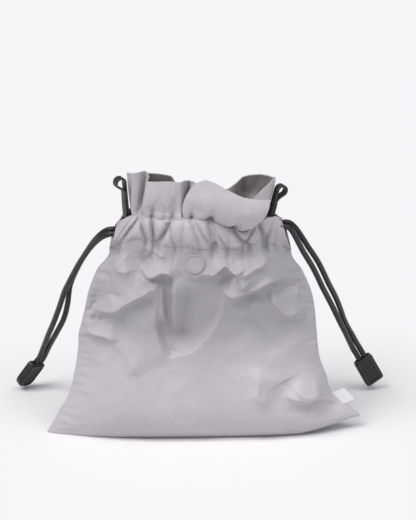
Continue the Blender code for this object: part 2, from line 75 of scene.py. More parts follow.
# Outline of the cloth from the floor to the casing: (height, x) pairs of the two side seams
LEFT_SEAM = [(0.0, -0.1735), (0.007, -0.1700), (0.017, -0.1645), (0.028, -0.1590), (0.037, -0.1535),
             (0.047, -0.1490), (0.075, -0.1425), (0.104, -0.1385), (0.118, -0.1380), (0.132, -0.1345),
             (0.150, -0.1305), (0.169, -0.1265), (0.197, -0.1160), (0.221, -0.1028), (0.245, -0.0950)]
RIGHT_SEAM = [(0.0, 0.1680), (0.0135, 0.1745), (0.018, 0.1738), (0.023, 0.1670), (0.029, 0.1600),
              (0.034, 0.1510), (0.048, 0.1420), (0.066, 0.1370), (0.086, 0.1300), (0.121, 0.1260),
              (0.149, 0.1235), (0.169, 0.1195), (0.197, 0.1080), (0.222, 0.0960), (0.245, 0.0870)]
DEPTH = [(0.0, 0.018), (0.003, 0.0220), (0.009, 0.0280), (0.020, 0.0355), (0.036, 0.0390),
         (0.060, 0.0360), (0.088, 0.0280), (0.112, 0.0222), (0.135, 0.0208), (0.165, 0.0235),
         (0.190, 0.0262), (0.212, 0.0268), (0.245, 0.0262)]
# The V-shaped hollow below the snap: its two edges, and how deep it is at each height
V_RIGHT = [(0.019, 0.205), (0.022, 0.165), (0.015, 0.137), (-0.008, 0.109), (-0.035, 0.097), (-0.050, 0.092)]
V_LEFT = [(-0.030, 0.090), (-0.043, 0.103), (-0.050, 0.120), (-0.054, 0.145), (-0.053, 0.200)]
V_DEPTH = [(0.090, 0.0), (0.097, 0.0065), (0.106, 0.0082), (0.130, 0.0074), (0.160, 0.0046),
           (0.185, 0.0020), (0.200, 0.0)]
# Stitched edges of the casing, front and rear: (x, height) pairs
FRONT_LOW = [(-0.103, 0.220), (-0.088, 0.2315), (-0.076, 0.239), (-0.070, 0.240), (-0.054, 0.238),
             (-0.036, 0.233), (-0.012, 0.233), (-0.002, 0.229), (0.008, 0.232), (0.013, 0.236),
             (0.023, 0.231), (0.048, 0.232), (0.064, 0.238), (0.069, 0.235), (0.082, 0.228),
             (0.096, 0.2185)]
FRONT_HIGH = [(-0.0955, 0.250), (-0.083, 0.2625), (-0.069, 0.2655), (-0.036, 0.2645), (0.008, 0.264),
              (0.022, 0.258), (0.034, 0.253), (0.046, 0.251), (0.055, 0.256), (0.065, 0.261),
              (0.074, 0.262), (0.087, 0.256)]
REAR_LOW = [(-0.103, 0.221), (-0.080, 0.229), (-0.040, 0.232), (0.0, 0.231), (0.040, 0.232),
            (0.075, 0.228), (0.096, 0.2185)]
REAR_HIGH = [(-0.0955, 0.2500), (-0.083, 0.2625), (-0.040, 0.265), (0.0, 0.264), (0.040, 0.265),
             (0.074, 0.261), (0.0870, 0.2560)]
# Gathers of the casing: (x, depth, width, slant) of each valley
FRONT_GATHERS = [(-0.0900, 0.0040, 0.0040, 0.90), (-0.0800, 0.0075, 0.0036, 0.85),
                 (-0.0665, 0.0085, 0.0032, -0.30), (-0.0550, 0.0100, 0.0028, -0.08),
                 (-0.0425, 0.0100, 0.0032, 0.55), (-0.0360, 0.0040, 0.0026, -0.40),
                 (-0.0215, 0.0030, 0.0040, 0.10), (-0.0075, 0.0050, 0.0034, -0.35),
                 (0.0000, 0.0060, 0.0028, -0.75), (0.0110, 0.0110, 0.0034, -0.18),
                 (0.0175, 0.0040, 0.0026, -0.70), (0.0300, 0.0026, 0.0050, 0.05),
                 (0.0425, 0.0085, 0.0034, -0.60), (0.0500, 0.0060, 0.0030, 0.50),
                 (0.0640, 0.0100, 0.0034, -0.30), (0.0730, 0.0060, 0.0030, 0.45),
                 (0.0800, 0.0040, 0.0030, 0.10)]
REAR_GATHERS = [(-0.0840, 0.0025, 0.0030, 0.1), (-0.0750, 0.0040, 0.0026, -0.2),
                (-0.0660, 0.0030, 0.0026, 0.2), (-0.0550, 0.0055, 0.0024, 0.0),
                (-0.0460, 0.0030, 0.0026, -0.3), (-0.0350, 0.0060, 0.0024, 0.2),
                (-0.0250, 0.0030, 0.0026, 0.0), (-0.0140, 0.0050, 0.0024, -0.1),
                (-0.0030, 0.0055, 0.0024, 0.2), (0.0080, 0.0030, 0.0026, -0.2),
                (0.0180, 0.0060, 0.0024, 0.1), (0.0290, 0.0035, 0.0026, 0.3),
                (0.0390, 0.0055, 0.0024, -0.1), (0.0500, 0.0030, 0.0026, 0.1),
                (0.0600, 0.0050, 0.0024, -0.3), (0.0690, 0.0035, 0.0024, 0.1),
                (0.0790, 0.0025, 0.0026, 0.0)]
# Folds of the front panel: the crest of each as (x, height) points, how far it stands out (below 0 it
# is a valley), and how far the cloth takes to fall away to the left and to the right of the path
FRONT_FOLDS = [
    ([(-0.122, 0.141), (-0.113, 0.149), (-0.095, 0.156), (-0.077, 0.171), (-0.060, 0.181), (-0.042, 0.185)],
     0.0062, 0.019, 0.0028),
    ([(-0.140, 0.133), (-0.127, 0.126), (-0.110, 0.121), (-0.090, 0.117)], 0.0042, 0.016, 0.0030),
    ([(-0.034, 0.204), (-0.032, 0.180), (-0.032, 0.150), (-0.033, 0.118)], 0.0064, 0.015, 0.0024),
    ([(-0.046, 0.199), (-0.045, 0.170), (-0.044, 0.145), (-0.041, 0.130)], 0.0040, 0.0035, 0.014),
    ([(-0.019, 0.199), (0.004, 0.202), (0.013, 0.204), (0.024, 0.213), (0.033, 0.207), (0.044, 0.210),
      (0.056, 0.212)], 0.0058, 0.015, 0.0022),
    ([(0.038, 0.199), (0.052, 0.206), (0.068, 0.216), (0.084, 0.222)], 0.0040, 0.010, 0.0022),
    ([(0.031, 0.212), (0.038, 0.200), (0.048, 0.183)], 0.0056, 0.018, 0.0026),
    ([(0.014, 0.189), (0.024, 0.179), (0.034, 0.177), (0.052, 0.183), (0.075, 0.191), (0.098, 0.190)],
     0.0066, 0.017, 0.0028),
    ([(0.075, 0.180), (0.079, 0.164), (0.089, 0.151), (0.102, 0.146), (0.118, 0.148)],
     0.0052, 0.015, 0.0040),
    ([(-0.072, 0.208), (-0.060, 0.201), (-0.046, 0.204), (-0.038, 0.202), (-0.032, 0.192)],
     0.0058, 0.013, 0.0022),
    ([(-0.069, 0.225), (-0.061, 0.228), (-0.051, 0.223), (-0.040, 0.222)], 0.0036, 0.008, 0.0018),
    ([(-0.101, 0.220), (-0.096, 0.205), (-0.088, 0.200), (-0.073, 0.203)], 0.0040, 0.020, 0.0070),
    ([(0.020, 0.195), (0.022, 0.165), (0.015, 0.137), (-0.008, 0.109), (-0.042, 0.095)],
     0.0022, 0.042, 0.0090),
    ([(-0.030, 0.095), (-0.043, 0.103), (-0.050, 0.120), (-0.054, 0.142), (-0.055, 0.175)],
     0.0022, 0.034, 0.0090),
    ([(-0.015, 0.190), (-0.017, 0.160), (-0.023, 0.130), (-0.033, 0.104)], -0.0030, 0.014, 0.010),
    ([(-0.130, 0.139), (-0.121, 0.152), (-0.106, 0.167), (-0.094, 0.169), (-0.082, 0.180)],
     -0.0030, 0.011, 0.0050),
    ([(-0.126, 0.142), (-0.115, 0.135), (-0.110, 0.139), (-0.111, 0.146)], -0.0024, 0.0050, 0.0080),
    ([(0.080, 0.169), (0.095, 0.177), (0.108, 0.171)], -0.0020, 0.011, 0.0060),
    ([(-0.069, 0.208), (-0.063, 0.213), (-0.054, 0.216)], -0.0022, 0.0070, 0.0030),
    ([(-0.074, 0.196), (-0.060, 0.191), (-0.045, 0.188)], 0.0030, 0.0090, 0.010),
    ([(0.065, 0.090), (0.061, 0.068), (0.061, 0.056), (0.078, 0.044)], 0.0024, 0.026, 0.0060),
    ([(0.086, 0.056), (0.107, 0.049), (0.129, 0.046), (0.157, 0.030)], 0.0040, 0.018, 0.0030),
    ([(0.098, 0.068), (0.110, 0.056), (0.120, 0.051), (0.129, 0.056), (0.140, 0.076)],
     0.0034, 0.012, 0.0045),
    ([(0.156, 0.048), (0.148, 0.038), (0.144, 0.025)], -0.0026, 0.0070, 0.0060),
    ([(-0.154, 0.048), (-0.159, 0.035), (-0.162, 0.018)], -0.0026, 0.0060, 0.0060),
    ([(-0.108, 0.118), (-0.086, 0.101), (-0.072, 0.076)], 0.0020, 0.020, 0.0090),
    ([(0.046, 0.162), (0.056, 0.136), (0.076, 0.112), (0.096, 0.098)], -0.0022, 0.020, 0.012),
    ([(0.060, 0.174), (0.052, 0.156), (0.042, 0.143)], 0.0026, 0.012, 0.0070),
]
REAR_FOLDS = [
    ([(0.1180, 0.1440), (0.0900, 0.1550), (0.0680, 0.1720), (0.0460, 0.1960)], 0.0052, 0.0050, 0.0200),
    ([(-0.1240, 0.1420), (-0.1040, 0.1500), (-0.0840, 0.1700), (-0.0640, 0.1990)],
     0.0050, 0.0200, 0.0040),
    ([(-0.0300, 0.2050), (-0.0360, 0.1700), (-0.0300, 0.1350), (-0.0180, 0.1050)],
     0.0050, 0.0180, 0.0060),
    ([(0.0300, 0.1250), (0.0240, 0.1550), (0.0250, 0.2050)], -0.0046, 0.0100, 0.0180),
    ([(-0.1150, 0.0720), (-0.0900, 0.0550), (-0.0600, 0.0500)], 0.0030, 0.0200, 0.0060),
    ([(0.0760, 0.0860), (0.1000, 0.0600), (0.1300, 0.0470)], 0.0030, 0.0160, 0.0050),
    ([(-0.0460, 0.1950), (-0.0560, 0.1650), (-0.0760, 0.1390)], -0.0034, 0.0120, 0.0070),
    ([(-0.0020, 0.2050), (0.0020, 0.1700), (-0.0070, 0.1350)], -0.0034, 0.0080, 0.0140),
    ([(0.0620, 0.2050), (0.0700, 0.1850), (0.0850, 0.1700)], 0.0036, 0.0120, 0.0050),
    ([(-0.0900, 0.2080), (-0.0860, 0.1950), (-0.0760, 0.1850)], 0.0036, 0.0040, 0.0120),
    ([(0.1450, 0.0520), (0.1330, 0.0400), (0.1290, 0.0260)], -0.0026, 0.0070, 0.0070),
    ([(0.0500, 0.1500), (0.0300, 0.1100), (0.0250, 0.0800)], 0.0024, 0.0260, 0.0120),
]


# Small tools ---------------------------------------------------------------------------------------

def lookup(pairs, at):
    """A smooth curve through (place, value) pairs, for a number or an array."""
    xs = np.array([p[0] for p in pairs], float)
    ys = np.array([p[1] for p in pairs], float)
    slopes = np.diff(ys) / np.diff(xs)
    tangents = np.concatenate([slopes[:1], (slopes[:-1] + slopes[1:]) / 2, slopes[-1:]])
    at = np.clip(np.asarray(at, float), xs[0], xs[-1])
    k = np.clip(np.searchsorted(xs, at) - 1, 0, len(slopes) - 1)
    span = xs[k + 1] - xs[k]
    t = (at - xs[k]) / span
    return (ys[k] * (2 * t ** 3 - 3 * t ** 2 + 1) + tangents[k] * span * (t ** 3 - 2 * t ** 2 + t)
            + ys[k + 1] * (3 * t ** 2 - 2 * t ** 3) + tangents[k + 1] * span * (t ** 3 - t ** 2))


def smooth(t):
    t = np.clip(t, 0.0, 1.0)
    return t * t * (3 - 2 * t)


def through(points, count):
    """count points spread evenly by parameter on a Catmull-Rom curve through the given points."""
    pts = np.array(points, float)
    pts = np.vstack([2 * pts[0] - pts[1], pts, 2 * pts[-1] - pts[-2]])
    out = []
    for at in np.linspace(0, len(points) - 1 - 1e-9, count):
        i = int(at)
        t = at - i
        p0, p1, p2, p3 = pts[i:i + 4]
        out.append(0.5 * (2 * p1 + (p2 - p0) * t + (2 * p0 - 5 * p1 + 4 * p2 - p3) * t ** 2
                          + (3 * p1 - p0 - 3 * p2 + p3) * t ** 3))
    return np.array(out)


def to_path(x, z, path):
    """Signed distance from each point to a path (positive to its left) and the share of its length."""
    pts = through(path, 8 * len(path))
    lengths = np.concatenate([[0], np.cumsum(np.linalg.norm(np.diff(pts, axis=0), axis=1))])
    best = np.full(x.shape, 1e9)
    signed = np.zeros(x.shape)
    share = np.zeros(x.shape)
    for i in range(len(pts) - 1):
        a, d = pts[i], pts[i + 1] - pts[i]
        length = np.linalg.norm(d)
        t = np.clip(((x - a[0]) * d[0] + (z - a[1]) * d[1]) / length ** 2, 0, 1)
        rx, rz = x - a[0] - t * d[0], z - a[1] - t * d[1]
        away = np.hypot(rx, rz)
        nearer = away < best
        side = np.sign(d[0] * rz - d[1] * rx)
        best = np.where(nearer, away, best)
        signed = np.where(nearer, side * away, signed)
        share = np.where(nearer, (lengths[i] + t * length) / lengths[-1], share)
    return signed, share


def cloud(x, y, z, scale, seed):
    """Smooth noise between about -1 and 1 over arrays of points."""
    flat = zip(np.ravel(x), np.ravel(y), np.ravel(z))
    values = [noise.noise(Vector((a / scale + seed, b / scale, c / scale - seed))) for a, b, c in flat]
    return np.array(values).reshape(np.shape(x)) * 1.6


def grid_object(name, points, uv, closed=False):
    """A mesh over a grid of points, with a UV map in metres."""
    rows, columns = points.shape[:2]
    mesh = bpy.data.meshes.new(name)
    faces = []
    across = columns if closed else columns - 1
    for r in range(rows - 1):
        for c in range(across):
            d = (c + 1) % columns
            faces.append((r * columns + c, r * columns + d, (r + 1) * columns + d, (r + 1) * columns + c))
    mesh.from_pydata(points.reshape(-1, 3).tolist(), [], faces)
    layer = mesh.uv_layers.new(name="weave")
    loops = np.zeros(len(mesh.loops), np.int32)
    mesh.loops.foreach_get("vertex_index", loops)
    layer.data.foreach_set("uv", uv.reshape(-1, 2)[loops].astype(np.float32).ravel())
    mesh.shade_smooth()
    made = bpy.data.objects.new(name, mesh)
    bpy.context.scene.collection.objects.link(made)
    return made


def bmesh_object(name, shape):
    """A smooth object from a bmesh, which is freed."""
    mesh = bpy.data.meshes.new(name)
    shape.to_mesh(mesh)
    shape.free()
    mesh.shade_smooth()
    made = bpy.data.objects.new(name, mesh)
    bpy.context.scene.collection.objects.link(made)
    return made


def grid_uv(points):
    """Cloth coordinates of a grid, measured along its rows and columns."""
    across = np.linalg.norm(np.diff(points, axis=1), axis=2)
    up = np.linalg.norm(np.diff(points, axis=0), axis=2)
    u = np.concatenate([np.zeros((points.shape[0], 1)), np.cumsum(across, axis=1)], axis=1)
    u -= u[:, u.shape[1] // 2][:, None]
    v = np.concatenate([np.zeros((1, points.shape[1])), np.cumsum(up, axis=0)], axis=0)
    return np.stack([u, v], axis=2)


def thicken(obj, thickness, inner_slot):
    """Turns a sheet into closed cloth of that thickness."""
    solid = obj.modifiers.new("thickness", "SOLIDIFY")
    solid.thickness = thickness
    solid.offset = -1.0
    solid.material_offset = inner_slot
    apply_modifiers(obj)
    return obj


def apply_modifiers(obj):
    """Replaces an object's mesh with its evaluated one."""
    graph = bpy.context.evaluated_depsgraph_get()
    result = bpy.data.meshes.new_from_object(obj.evaluated_get(graph), depsgraph=graph)
    obj.modifiers.clear()
    old = obj.data
    obj.data = result
    bpy.data.meshes.remove(old)
    return obj


def face_side(obj, side):
    """Turns the faces so that most look to the given side, front or rear."""
    mesh = obj.data
    votes = sum(np.sign(Vector((0, side, 0)).dot(f.normal)) for f in mesh.polygons)
    if votes < 0:
        mesh.flip_normals()


def cloth_object(name, side, points, materials, thickness):
    """Closed cloth over a grid; a second material goes on its inner face."""
    made = grid_object(name, points, grid_uv(points))
    face_side(made, side)
    for kind in materials:
        made.data.materials.append(kind)
    thicken(made, thickness, len(materials) - 1)
    made.data.shade_smooth()
    return made


# Camera, floor and light ---------------------------------------------------------------------------

ELEVATION = math.radians(24)
CAMERA_DISTANCE = 8.0           # far away through a long lens, so that upright lines stay upright
VIEW_WIDTH = 0.4597             # width of the picture at the bag
TARGET = Vector((0.0055, 0.0, 0.2055))


def add_camera():
    data = bpy.data.cameras.new("camera")
    data.sensor_fit = "HORIZONTAL"
    data.sensor_width = 36.0
    data.lens = 36.0 * CAMERA_DISTANCE / VIEW_WIDTH
    data.clip_end = 60.0
    camera = bpy.data.objects.new("camera", data)
    way = Vector((0.0, -math.cos(ELEVATION), math.sin(ELEVATION)))
    camera.location = TARGET + way * CAMERA_DISTANCE
    camera.rotation_euler = way.to_track_quat("Z", "Y").to_euler()
    bpy.context.scene.collection.objects.link(camera)
    bpy.context.scene.camera = camera


def add_sun(name, azimuth, elevation, spread, strength, colour):
    """A distant, wide light; azimuth 0 is in front of the bag and 90 at its right."""
    data = bpy.data.lights.new(name, "SUN")
    data.angle = math.radians(spread)
    data.energy = strength
    data.color = colour
    light = bpy.data.objects.new(name, data)
    turn, rise = math.radians(azimuth), math.radians(elevation)
    way = Vector((math.sin(turn) * math.cos(rise), -math.cos(turn) * math.cos(rise), math.sin(rise)))
    light.rotation_euler = way.to_track_quat("Z", "Y").to_euler()
    bpy.context.scene.collection.objects.link(light)


def add_stage():
    """Plain pale floor, white surroundings and soft studio lights."""
    bpy.ops.mesh.primitive_plane_add(size=60.0, location=(0, 0, 0))
    floor = bpy.context.object
    floor.name = "floor"
    paint = bpy.data.materials.new("floor_paint")
    paint.use_nodes = True
    shader = paint.node_tree.nodes["Principled BSDF"]
    shader.inputs["Base Color"].default_value = (0.87, 0.86, 0.875, 1)
    shader.inputs["Roughness"].default_value = 0.7
    shader.inputs["Specular IOR Level"].default_value = 0.1
    floor.data.materials.append(paint)
    world = bpy.data.worlds.new("studio")
    world.use_nodes = True
    world.node_tree.nodes["Background"].inputs["Color"].default_value = (0.90, 0.93, 1.0, 1)
    world.node_tree.nodes["Background"].inputs["Strength"].default_value = 0.31
    bpy.context.scene.world = world
    bpy.context.scene.view_settings.view_transform = "Standard"
    add_sun("left_key", -50, 57, 34, 2.0, (1.0, 0.985, 0.97))
    add_sun("right_key", 52, 60, 34, 0.95, (1.0, 0.985, 0.97))


# Materials -----------------------------------------------------------------------------------------

class Nodes:
    """Short ways to add and join shader nodes."""

    def __init__(self, name):
        self.material = bpy.data.materials.new(name)
        self.material.use_nodes = True
        self.tree = self.material.node_tree
        self.shader = self.tree.nodes["Principled BSDF"]

    def add(self, kind, **settings):
        node = self.tree.nodes.new(kind)
        for key, value in settings.items():
            if hasattr(node, key):
                setattr(node, key, value)
            else:
                node.inputs[key.replace("_", " ")].default_value = value
        return node

    def join(self, start, end):
        self.tree.links.new(start, end)

    def math(self, operation, a, b=None):
        node = self.tree.nodes.new("ShaderNodeMath")
        node.operation = operation
        for socket, value in zip(node.inputs, (a, b)):
            if value is None:
                continue
            if isinstance(value, (int, float)):
                socket.default_value = value
            else:
                self.join(value, socket)
        return node.outputs[0]

    def ramp(self, factor, stops):
        node = self.tree.nodes.new("ShaderNodeValToRGB")
        while len(node.color_ramp.elements) < len(stops):
            node.color_ramp.elements.new(0.5)
        for element, (place, colour) in zip(node.color_ramp.elements, stops):
            element.position = place
            element.color = (*colour, 1)
        self.join(factor, node.inputs["Fac"])
        return node.outputs["Color"]

    def bump(self, height, strength, distance, below=None):
        node = self.add("ShaderNodeBump")
        node.inputs["Strength"].default_value = strength
        node.inputs["Distance"].default_value = distance
        self.join(height, node.inputs["Height"])
        if below is not None:
            self.join(below, node.inputs["Normal"])
        return node.outputs["Normal"]


def cloth_material(name, dark, light, roughness, sheen, pitch):
    """Fine plain weave: threads over and under, slight colour variation and soft creases, and painted shade
    darkening a band across the upper body by height.
    """
    n = Nodes(name)
    uv = n.add("ShaderNodeUVMap", uv_map="weave").outputs["UV"]
    split = n.add("ShaderNodeSeparateXYZ")
    n.join(uv, split.inputs[0])
    warp = n.math("SINE", n.math("MULTIPLY", split.outputs["X"], math.pi / pitch))
    weft = n.math("SINE", n.math("MULTIPLY", split.outputs["Y"], math.pi / pitch))
    weave = n.math("MULTIPLY", warp, weft)
    place = n.add("ShaderNodeTexCoord").outputs["Object"]
    broad = n.add("ShaderNodeTexNoise", Scale=9.0, Detail=3.0)
    n.join(place, broad.inputs["Vector"])
    fine = n.add("ShaderNodeTexNoise", Scale=240.0, Detail=2.0)
    n.join(place, fine.inputs["Vector"])
    crinkle = n.add("ShaderNodeTexNoise", Scale=55.0, Detail=4.0)
    n.join(place, crinkle.inputs["Vector"])
    shade = n.math("ADD", n.math("MULTIPLY", broad.outputs["Fac"], 0.62),
                   n.math("ADD", n.math("MULTIPLY", fine.outputs["Fac"], 0.28),
                          n.math("MULTIPLY", weave, 0.05)))
    colour = n.ramp(shade, [(0.25, dark), (0.65, light)])
    # Painted shade: the colour is multiplied down to 0.83 from about 0.14 m to 0.22 m high and eases back
    # towards the neck, standing in for the upper body's shading.
    lift = n.add("ShaderNodeSeparateXYZ")
    n.join(place, lift.inputs[0])
    height = n.math("MULTIPLY", lift.outputs["Z"], 2.5)
    upper_band_painted_shade = n.ramp(height, [(0.20, (1, 1, 1)), (0.34, (0.83, 0.83, 0.845)), (0.56, (0.83, 0.83, 0.845)),
                              (0.64, (0.95, 0.95, 0.95))])
    painted_shade_mix = n.add("ShaderNodeMix", data_type="RGBA", blend_type="MULTIPLY")
    painted_shade_mix.inputs["Factor"].default_value = 1.0
    n.join(colour, painted_shade_mix.inputs[6])
    n.join(upper_band_painted_shade, painted_shade_mix.inputs[7])
    n.join(painted_shade_mix.outputs[2], n.shader.inputs["Base Color"])
    n.shader.inputs["Roughness"].default_value = roughness
    n.shader.inputs["Sheen Weight"].default_value = sheen
    n.shader.inputs["Sheen Roughness"].default_value = 0.4
    n.shader.inputs["Specular IOR Level"].default_value = 0.35
    first = n.bump(crinkle.outputs["Fac"], 0.25, 0.0012)
    n.join(n.bump(weave, 0.35, 0.00012, first), n.shader.inputs["Normal"])
    return n.material


def leather_material(name, dark, light, roughness, grain):
    """Dyed leather: fine pebbled grain, paler in random patches."""
    n = Nodes(name)
    place = n.add("ShaderNodeTexCoord").outputs["Object"]
    pebbles = n.add("ShaderNodeTexVoronoi", Scale=grain)
    n.join(place, pebbles.inputs["Vector"])
    patches = n.add("ShaderNodeTexNoise", Scale=60.0, Detail=4.0)
    n.join(place, patches.inputs["Vector"])
    shade = n.math("ADD", n.math("MULTIPLY", pebbles.outputs["Distance"], 0.35),
                   n.math("MULTIPLY", patches.outputs["Fac"], 0.75))
    n.join(n.ramp(shade, [(0.30, dark), (0.75, light)]), n.shader.inputs["Base Color"])
    rough = n.math("ADD", roughness - 0.08, n.math("MULTIPLY", patches.outputs["Fac"], 0.16))
    n.join(rough, n.shader.inputs["Roughness"])
    n.shader.inputs["Specular IOR Level"].default_value = 0.5
    n.join(n.bump(pebbles.outputs["Distance"], 0.5, 0.00025), n.shader.inputs["Normal"])
    return n.material


def thread_material(name, colour):
    """Twisted sewing thread."""
    n = Nodes(name)
    place = n.add("ShaderNodeTexCoord").outputs["Object"]
    twist = n.add("ShaderNodeTexWave", Scale=900.0, Distortion=1.0)
    n.join(place, twist.inputs["Vector"])
    deep = tuple(c * 0.7 for c in colour)
    n.join(n.ramp(twist.outputs["Fac"], [(0.2, deep), (0.8, colour)]), n.shader.inputs["Base Color"])
    n.shader.inputs["Roughness"].default_value = 0.6
    n.shader.inputs["Sheen Weight"].default_value = 0.3
    n.join(n.bump(twist.outputs["Fac"], 0.4, 0.0001), n.shader.inputs["Normal"])
    return n.material


CLOTH = cloth_material("bag_cloth", (0.480, 0.455, 0.486), (0.590, 0.562, 0.596), 0.46, 0.30, 0.00045)
# Painted shade: the lining is coloured darker and pinker than the outer cloth, standing in for the shade
# inside the mouth and on the frill's inner face.
SHADED_LINING = cloth_material("lining_cloth", (0.33, 0.30, 0.305), (0.42, 0.39, 0.395), 0.7, 0.1, 0.0005)
LABEL = cloth_material("label_ribbon", (0.78, 0.78, 0.79), (0.88, 0.88, 0.89), 0.6, 0.3, 0.0004)
CORD_LEATHER = leather_material("cord_leather", (0.006, 0.005, 0.0055), (0.022, 0.018, 0.019), 0.36, 900.0)
TAB_LEATHER = leather_material("tab_leather", (0.006, 0.005, 0.0055), (0.020, 0.016, 0.0175), 0.42, 1100.0)
LOOP_LEATHER = leather_material("loop_leather", (0.012, 0.010, 0.0105), (0.045, 0.037, 0.038), 0.42, 1000.0)
CLOTH_THREAD = thread_material("cloth_thread", (0.80, 0.78, 0.80))
PATCH_THREAD = thread_material("patch_thread", (0.56, 0.54, 0.565))
DARK_THREAD = thread_material("dark_thread", (0.055, 0.050, 0.052))


# The cloth -------------------------------------------------------------------------------------------

def seams(z):
    return lookup(LEFT_SEAM, z), lookup(RIGHT_SEAM, z)


def seam_low(side):
    return FRONT_LOW if side == FRONT else REAR_LOW


def seam_high(side):
    return FRONT_HIGH if side == FRONT else REAR_HIGH


def gathers(side, x, rise):
    """How far the gathers draw the cloth in at x; rise is the height above the casing's middle."""
    total = np.zeros(np.shape(x))
    for place, depth, width, slant in (FRONT_GATHERS if side == FRONT else REAR_GATHERS):
        away = np.abs(x - place - slant * rise) / width
        total += depth * np.exp(-away ** 1.4)
    return np.minimum(total, GATHER_MOST)


def swell(u, z):
    power = 3.4 - 1.1 * smooth(z / 0.2)
    return (1 - np.clip(np.abs(u), 0, 1) ** power) ** 0.9


def neck_depth(u):
    """Half-depth of the neck's outside across its width, from -1 to 1."""
    curved = 1 - 0.36 / 0.91
    share = np.sin(math.pi / 2 * np.clip((1 - np.abs(u)) / curved - 0.02, 0, 1)) ** 0.9
    return 0.0085 + 0.0205 * share


def low_edge(side, u):
    """The stitched line between panel and casing: x, half-depth and height at u."""
    guess = lookup(seam_low(side), NECK_X + u * 0.099)
    left, right = seams(guess)
    x = left + (right - left) * (u + 1) / 2
    z = lookup(seam_low(side), x)
    ends = smooth((1 - np.abs(u)) / 0.10)
    y = (EDGE_HALF + 0.001) * (1 - ends) + ends * (neck_depth(u) - 0.0022)
    y -= 0.75 * ends * gathers(side, x, -0.014)
    return x, y, z


def high_edge(side, u):
    """The stitched line between casing and header."""
    table = seam_high(side)
    first, last = table[0][0], table[-1][0]
    x = first + (last - first) * (u + 1) / 2
    z = lookup(table, x)
    ends = smooth((1 - np.abs(u)) / 0.12)
    y = (EDGE_HALF + 0.001) * (1 - ends) + ends * (neck_depth(u) - 0.0030)
    y -= 0.75 * ends * gathers(side, x, 0.016)
    return x, y, z


def along(share, start, end):
    """1 on a path, falling to 0 at its two ends."""
    return smooth(share / start) * smooth((1 - share) / end)


def folds(side, x, z):
    """How far the folds stand out: sharp crests and valleys that die out along their paths."""
    wander_x = x + 0.0016 * cloud(x, 0 * x, z, 0.019, 21.0 + side)
    wander_z = z + 0.0016 * cloud(x, 0 * x, z, 0.019, 33.0 + side)
    total = np.zeros(x.shape)
    for path, height, left_reach, right_reach in (FRONT_FOLDS if side == FRONT else REAR_FOLDS):
        away, share = to_path(wander_x, wander_z, path)
        rounded = np.sqrt(away ** 2 + CREST ** 2) - CREST
        reach = np.where(away > 0, left_reach, right_reach)
        total += FOLD_GAIN * height * np.exp(-rounded / reach) * along(share, 0.30, 0.30)
    return total


def hollow(x, z):
    """Depth of the V-shaped hollow, whose floor comes forward towards its top."""
    from_right, _ = to_path(x, z, V_RIGHT)
    from_left, _ = to_path(x, z, V_LEFT)
    inside = smooth(-from_right / 0.0050) * smooth(-from_left / 0.0070)
    return lookup(V_DEPTH, z) * inside


def seat(x, z, y):
    """Keeps the cloth just behind the snap's patch round the snap."""
    near = smooth((SNAP_SEAT - np.hypot(x - SNAP[0], z - SNAP[1])) / (SNAP_SEAT * 0.45))
    lean = (z - SNAP[1]) * SNAP_LEAN
    return y * (1 - near) + near * (SNAP_DEPTH - lean)


def crumple(x, y, z, scale, seed):
    """Faint creases between slightly hollow facets, from 0 down to about -1."""
    return -np.sqrt(cloud(x, y, z, scale, seed) ** 2 + 0.004)


def flutes(side, x, z, low):
    """Gathers running down from the casing and dying out."""
    below = np.maximum(low - z, 0)
    fan = 1 + 1.1 * below
    total = np.zeros(x.shape)
    table = FRONT_GATHERS if side == FRONT else REAR_GATHERS
    for i, (place, depth, width, slant) in enumerate(table):
        reach = 0.012 + 0.012 * ((i * 7) % 5) / 4
        spread = width * (1.0 + below / 0.012)
        path = NECK_X + (place - NECK_X) * fan + slant * (-0.014 - below * 0.6)
        total += FLUTE_SHARE * depth * np.exp(-(np.abs(x - path) / spread) ** 1.5) * np.exp(-below / reach)
    return total


def panel_points(side, rows, columns):
    """Grid of one panel of the bag from the bottom seam to the casing."""
    u = np.linspace(-1, 1, columns)
    u = 0.75 * u + 0.25 * np.sin(math.pi / 2 * u)
    grid_u = np.tile(u, (rows, 1))
    base_rows = max(rows // 16, 4)
    wall = np.linspace(0, 1, rows - base_rows)
    wall = np.interp(wall, [0, 0.30, 1], [0, 0.40, 1])
    top_x, top_y, low = low_edge(side, u)
    bottom = 0.0150 * smooth((u - 0.60) / 0.40)
    share = np.concatenate([np.linspace(0, 1, base_rows, endpoint=False), np.ones(rows - base_rows)])
    height = np.concatenate([np.zeros(base_rows), wall])[:, None]
    foot = bottom[None, :] * (1 - height)
    z = foot + low[None, :] * height
    rest = np.maximum(z - foot, 0)
    left, right = seams(np.maximum(z, 0))
    x = left + (right - left) * (grid_u + 1) / 2
    y = EDGE_HALF + lookup(DEPTH, rest) * swell(grid_u, z)
    y += relief(side, x, y, z, rest, low, grid_u)
    join = smooth((height - 0.88) / 0.12)
    x = x * (1 - join) + top_x[None, :] * join
    y = y * (1 - join) + top_y[None, :] * join
    y = np.maximum(seat(x, z, y), EDGE_HALF)
    y = np.where(share[:, None] < 1, EDGE_HALF + (y - EDGE_HALF) * share[:, None], y)
    return np.stack([x, side * y - base_turn(x, z), z], axis=2)


def base_turn(x, z):
    """How far forward the turned base brings the cloth."""
    return TURN * (TURN_ABOUT - x) * (1 - smooth(z / 0.20))


def inside_of(points, side):
    """Grid of the lining: the panel's own grid, a little smaller all round."""
    x, y, z = points[..., 0], points[..., 1], points[..., 2]
    half = side * (y + base_turn(x, z))
    half = np.maximum(0.85 * half - 0.0028, 0.0002)
    middle = (x[:, :1] + x[:, -1:]) / 2
    inner_x = middle + (x - middle) * 0.98
    return np.stack([inner_x, side * half - base_turn(x, z), z + 0.003 * (1 - smooth(z / 0.03))], axis=2)


